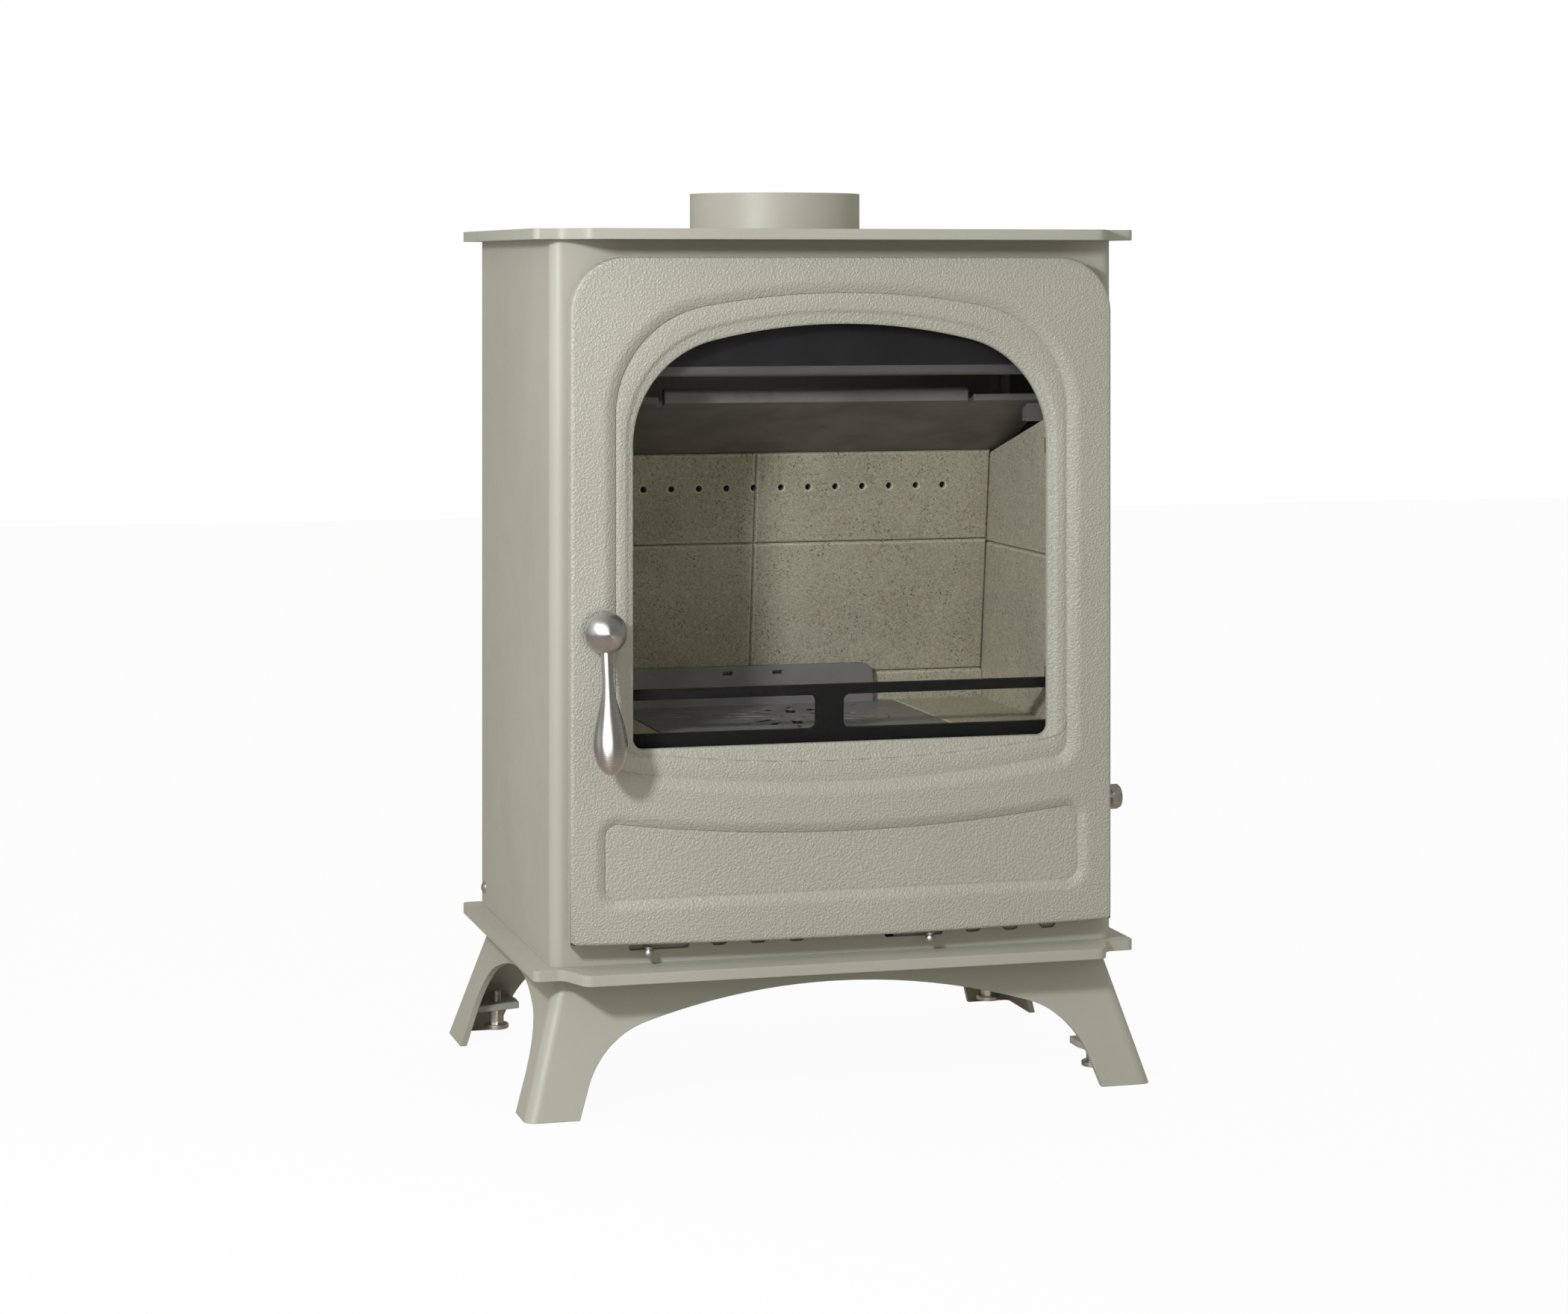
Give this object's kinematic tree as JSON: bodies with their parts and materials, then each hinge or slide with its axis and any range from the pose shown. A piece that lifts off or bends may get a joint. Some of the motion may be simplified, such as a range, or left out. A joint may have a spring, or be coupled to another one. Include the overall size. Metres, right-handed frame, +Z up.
{
  "type": "multi-fuel stove",
  "caption": "Steel stove for wood or coal: hinged cast door with an arched window, riddling grate, log guard, ash pan, air slides and a flared leg stand.",
  "frame": {"origin": "on the floor, midway between the two sides of the leg stand and between its front and rear toes", "axes": "+Z up, -Y out through the door, +X towards the side with the riddling rod"},
  "size_m": [0.4885, 0.3616, 0.683],
  "materials": {
    "stove_paint": "matt, fine texture",
    "door_paint": "matt, cast texture",
    "polished_steel": "turned and polished",
    "zinc_steel": "zinc plated",
    "black_paint": "matt black",
    "grate_iron": "as cast",
    "fire_brick": "pressed board, matt",
    "rope_fibre": "knitted",
    "clear_glass": "clear"
  },
  "bodies": {
    "stove_body": {"base_plate": "stove_paint", "top_plate": "stove_paint", "flue_collar": "stove_paint", "leg_stand": "stove_paint", "foot_tabs": "stove_paint", "body_casing": "stove_paint", "back_panel": "stove_paint", "casing_screws": "zinc_steel", "slide_guides": "black_paint", "ash_shelf": "black_paint", "ash_pan_rails": "black_paint", "fire_shelf": "black_paint", "fire_shelf_brackets": "black_paint", "smoke_ledge": "black_paint", "grate_frame": "grate_iron", "rod_guide": "black_paint", "side_brick_lower_left": "fire_brick", "side_brick_upper_left": "fire_brick", "side_brick_lower_right": "fire_brick", "side_brick_upper_right": "fire_brick", "back_brick_lower_left": "fire_brick", "back_brick_upper_left": "fire_brick", "back_brick_lower_right": "fire_brick", "back_brick_upper_right": "fire_brick", "floor_brick_left": "fire_brick", "floor_brick_right": "fire_brick", "floor_brick_rear": "fire_brick", "throat_plate": "black_paint", "throat_plate_lugs": "black_paint", "airwash_plate": "black_paint", "air_channels": "black_paint", "rear_air_box": "black_paint", "guard_keepers": "black_paint", "hinge_brackets": "stove_paint", "hinge_pins": "zinc_steel"},
    "door": {"door_casting": "door_paint", "door_glass": "clear_glass", "glass_tape": "rope_fibre", "glass_clips": "zinc_steel", "glass_clip_screws": "zinc_steel", "door_rope": "rope_fibre"},
    "door_handle": {"handle_ball": "polished_steel", "handle_spindle": "polished_steel", "handle_lever": "polished_steel", "latch_tongue": "zinc_steel", "latch_nut": "zinc_steel"},
    "primary_air_control": {"primary_slide": "zinc_steel", "primary_knob": "polished_steel"},
    "airwash_air_control": {"airwash_slide": "zinc_steel", "airwash_knob": "polished_steel"},
    "riddling_disc": {"grate_disc": "grate_iron"},
    "riddling_bar": {"riddling_rod": "zinc_steel", "riddling_hex": "zinc_steel"},
    "ash_drawer": {"ash_pan": "black_paint", "ash_pan_pull": "black_paint"},
    "guard": {"log_guard": "black_paint"},
    "foot_front_left": {"levelling_foot_front_left": "zinc_steel"},
    "foot_front_right": {"levelling_foot_front_right": "zinc_steel"},
    "foot_rear_left": {"levelling_foot_rear_left": "zinc_steel"},
    "foot_rear_right": {"levelling_foot_rear_right": "zinc_steel"}
  },
  "joints": [
    {"name": "door_hinge", "type": "hinge", "parent": "stove_body", "child": "door", "pos_m": [0.2078, -0.14925, 0.228], "axis": [0, 0, 1], "range_deg": [0, 100]},
    {"name": "handle_turn", "type": "hinge", "parent": "door", "child": "door_handle", "pos_m": [-0.185, -0.14075, 0.357], "axis": [0, 1, 0], "range_deg": [0, 90]},
    {"name": "primary_air_slide", "type": "slide", "parent": "stove_body", "child": "primary_air_control", "axis": [1, 0, 0], "range_m": [-0.01, 0.03]},
    {"name": "airwash_air_slide", "type": "slide", "parent": "stove_body", "child": "airwash_air_control", "axis": [1, 0, 0], "range_m": [-0.03, 0.01]},
    {"name": "grate_turn", "type": "hinge", "parent": "stove_body", "child": "riddling_disc", "pos_m": [-0.008, -0.04525, 0.275], "axis": [0, 0, 1], "range_deg": [-20, 20]},
    {"name": "riddling_slide", "type": "slide", "parent": "stove_body", "child": "riddling_bar", "axis": [1, 0, 0], "range_m": [-0.016, 0.016]},
    {"name": "ash_pan_travel", "type": "slide", "parent": "stove_body", "child": "ash_drawer", "axis": [0, -1, 0], "range_m": [0, 0.01]},
    {"name": "guard_lift", "type": "slide", "parent": "stove_body", "child": "guard", "axis": [0, 0, 1], "range_m": [0, 0.02]},
    {"name": "foot_screw_front_left", "type": "slide", "parent": "stove_body", "child": "foot_front_left", "axis": [0, 0, 1], "range_m": [-0.009, 0]},
    {"name": "foot_screw_front_right", "type": "slide", "parent": "stove_body", "child": "foot_front_right", "axis": [0, 0, 1], "range_m": [-0.009, 0]},
    {"name": "foot_screw_rear_left", "type": "slide", "parent": "stove_body", "child": "foot_rear_left", "axis": [0, 0, 1], "range_m": [-0.009, 0]},
    {"name": "foot_screw_rear_right", "type": "slide", "parent": "stove_body", "child": "foot_rear_right", "axis": [0, 0, 1], "range_m": [-0.009, 0]}
  ],
  "couplings": [
    {"joint": "riddling_slide", "follows": "grate_turn", "m_per_rad": 0.0435}
  ]
}
